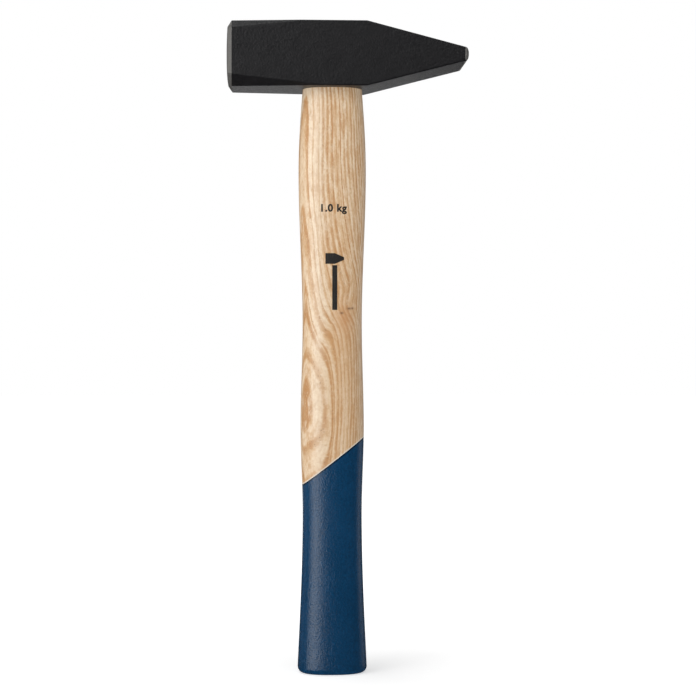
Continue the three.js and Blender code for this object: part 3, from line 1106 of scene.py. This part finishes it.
class HAMMER_OT_stage(bpy.types.Operator):
    """Sets up the floor, the backdrop, the lights and the camera"""

    bl_idname = "hammer.stage"
    bl_label = "Stage"

    def execute(self, context):
        stage = context.scene.hammer_stage
        self.floor()
        self.dome()
        self.lights()
        self.camera(context, stage)
        context.scene.view_settings.view_transform = "Standard"
        context.scene.view_settings.look = "None"
        return {"FINISHED"}

    def floor(self):
        """A pale floor, whiter away from the hammer, that isn't mirrored in it."""
        start_clean()
        bpy.ops.mesh.primitive_plane_add(size=FLOOR_SIZE)
        floor = name_new("floor")
        look = Look("pale_floor", roughness=0.9, specular_ior_level=0.0)
        glow_strength = look.spread(look.length(look.place), 30, 260, 0.6, 1.0)
        look.out(Base_Color=(0.8, 0.8, 0.8, 1), Emission_Strength=glow_strength)
        look.shader.inputs["Emission Color"].default_value = (1, 1, 1, 1)
        floor.data.materials.append(look.material)
        floor.visible_glossy = False

    def dome(self):
        """A white backdrop all round, which only the camera sees."""
        start_clean()
        bpy.ops.mesh.primitive_uv_sphere_add(segments=48, ring_count=24, radius=BACKDROP_RADIUS)
        dome = name_new("backdrop")
        dome.data.materials.append(glow("backdrop_white", (1, 1, 1), 1.0))
        for rays in ("diffuse", "glossy", "transmission", "shadow", "volume_scatter"):
            setattr(dome, "visible_" + rays, False)

    def lights(self):
        """A soft key on the left, fill from above and behind, and a strip that faces up."""
        world = bpy.data.worlds.new("surround")
        world.use_nodes = True
        surround = world.node_tree.nodes["Background"].inputs
        surround["Color"].default_value = (1, 1, 1, 1)
        surround["Strength"].default_value = SURROUND_STRENGTH
        bpy.context.scene.world = world
        for name, place, width, height, power in LIGHTS:
            start_clean()
            bpy.ops.object.light_add(type="AREA", location=place)
            light = bpy.context.object
            light.name = name
            light.data.shape = "RECTANGLE"
            light.data.size = width
            light.data.size_y = height
            light.data.energy = power
            light.visible_camera = False
            light.rotation_mode = "QUATERNION"
            if name == FACES_UP:
                light.rotation_quaternion = Matrix.Rotation(math.pi, 3, "X").to_quaternion()
            else:
                light.rotation_quaternion = (AIM - Vector(place)).to_track_quat("-Z", "Y")

    def camera(self, context, stage):
        """The camera, level with the handle's middle and turned towards the peen."""
        start_clean()
        bpy.ops.object.camera_add(location=CAMERA_PLACE)
        camera = bpy.context.object
        camera.name = "camera"
        camera.data.lens = stage.lens
        camera.data.sensor_width = 36
        camera.data.clip_start = 0.01
        camera.rotation_mode = "QUATERNION"
        turn = Matrix.Rotation(-stage.turn, 3, "Z") @ Matrix.Rotation(math.pi / 2, 3, "X")
        camera.rotation_quaternion = turn.to_quaternion()
        context.scene.camera = camera


class HAMMER_PT_panel(bpy.types.Panel):
    """Lists the hammer's settings and pieces"""

    bl_idname = "HAMMER_PT_panel"
    bl_label = "Cross Peen Hammer"
    bl_space_type = "VIEW_3D"
    bl_region_type = "UI"
    bl_category = "Hammer"

    def draw(self, context):
        for operator, name, settings in MAKERS:
            self.layout.operator(operator.bl_idname)
            for setting in settings.__annotations__:
                self.layout.prop(getattr(context.scene, name), setting)


MAKERS = (
    (HAMMER_OT_stage, "hammer_stage", StageSettings),
    (HAMMER_OT_head, "hammer_head", HeadSettings),
    (HAMMER_OT_handle, "hammer_handle", HandleSettings),
    (HAMMER_OT_grip, "hammer_grip", GripSettings),
    (HAMMER_OT_wedges, "hammer_wedges", WedgeSettings),
    (HAMMER_OT_prints, "hammer_prints", PrintSettings),
)


def register():
    for operator, name, settings in MAKERS:
        bpy.utils.register_class(settings)
        setattr(bpy.types.Scene, name, PointerProperty(type=settings))
        bpy.utils.register_class(operator)
    bpy.utils.register_class(HAMMER_PT_panel)


def unregister():
    bpy.utils.unregister_class(HAMMER_PT_panel)
    for operator, name, settings in reversed(MAKERS):
        bpy.utils.unregister_class(operator)
        delattr(bpy.types.Scene, name)
        bpy.utils.unregister_class(settings)


def main():
    register()
    bpy.ops.hammer.stage()
    bpy.ops.hammer.head()
    bpy.ops.hammer.handle()
    bpy.ops.hammer.grip()
    bpy.ops.hammer.wedges()
    bpy.ops.hammer.prints()


if __name__ == "__main__":
    main()
